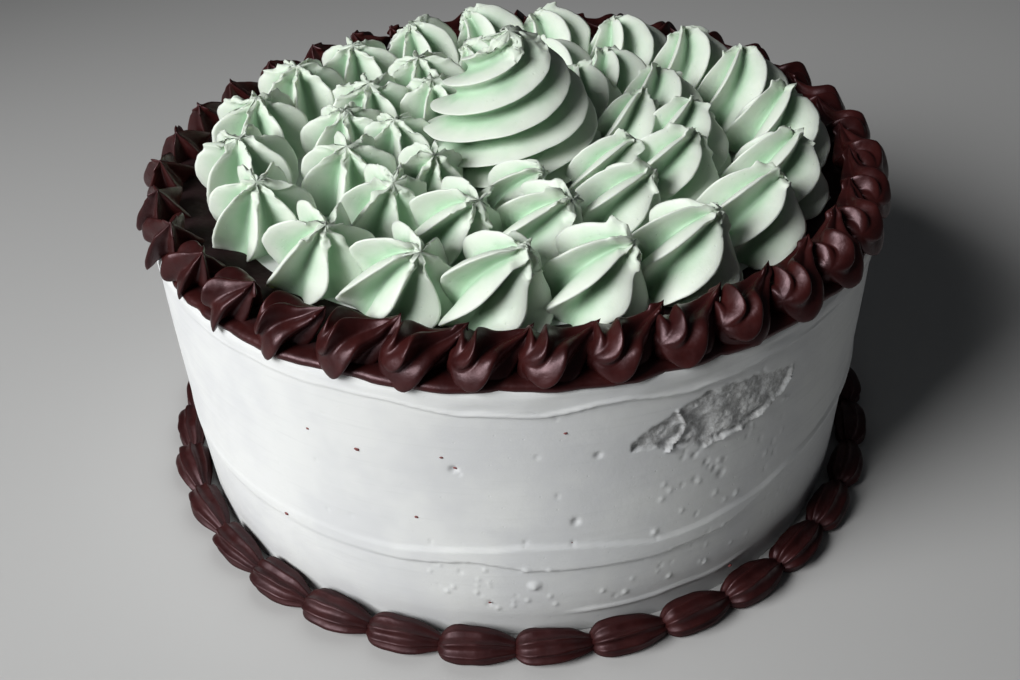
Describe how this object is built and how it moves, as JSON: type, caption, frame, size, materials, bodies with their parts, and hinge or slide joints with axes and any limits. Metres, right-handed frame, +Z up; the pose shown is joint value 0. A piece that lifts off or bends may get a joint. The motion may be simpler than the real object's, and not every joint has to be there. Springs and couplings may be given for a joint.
{
  "type": "layer cake",
  "caption": "Round uncut layer cake with smooth white frosting, piped mint dollops round a tall centre swirl, and piped chocolate borders along its top edge and its foot.",
  "frame": {"origin": "middle of the underside, on the surface that the cake stands on", "axes": "+Z up, -Y towards the side that the picture shows from the front"},
  "size_m": [0.244, 0.2439, 0.1368],
  "materials": {
    "white_frosting": "satin, smooth with spatula marks",
    "mint_buttercream": "satin, soft piped ridges",
    "chocolate_icing": "glossy, soft piped ridges"
  },
  "bodies": {
    "root": {"cake": "white_frosting", "centre_swirl": "mint_buttercream", "mint_outer_01": "mint_buttercream", "mint_outer_02": "mint_buttercream", "mint_outer_03": "mint_buttercream", "mint_outer_04": "mint_buttercream", "mint_outer_05": "mint_buttercream", "mint_outer_06": "mint_buttercream", "mint_outer_07": "mint_buttercream", "mint_outer_08": "mint_buttercream", "mint_outer_09": "mint_buttercream", "mint_outer_10": "mint_buttercream", "mint_outer_11": "mint_buttercream", "mint_outer_12": "mint_buttercream", "mint_outer_13": "mint_buttercream", "mint_outer_14": "mint_buttercream", "mint_outer_15": "mint_buttercream", "mint_outer_16": "mint_buttercream", "mint_outer_17": "mint_buttercream", "mint_outer_18": "mint_buttercream", "mint_outer_19": "mint_buttercream", "mint_middle_01": "mint_buttercream", "mint_middle_02": "mint_buttercream", "mint_middle_03": "mint_buttercream", "mint_middle_04": "mint_buttercream", "mint_middle_05": "mint_buttercream", "mint_middle_06": "mint_buttercream", "mint_middle_07": "mint_buttercream", "mint_middle_08": "mint_buttercream", "mint_middle_09": "mint_buttercream", "mint_middle_10": "mint_buttercream", "mint_middle_11": "mint_buttercream", "mint_middle_12": "mint_buttercream", "mint_middle_13": "mint_buttercream", "mint_middle_14": "mint_buttercream", "mint_inner_01": "mint_buttercream", "mint_inner_02": "mint_buttercream", "mint_inner_03": "mint_buttercream", "mint_inner_04": "mint_buttercream", "mint_inner_05": "mint_buttercream", "mint_inner_06": "mint_buttercream", "mint_inner_07": "mint_buttercream", "mint_inner_08": "mint_buttercream", "top_border": "chocolate_icing", "bottom_border": "chocolate_icing"}
  },
  "joints": []
}
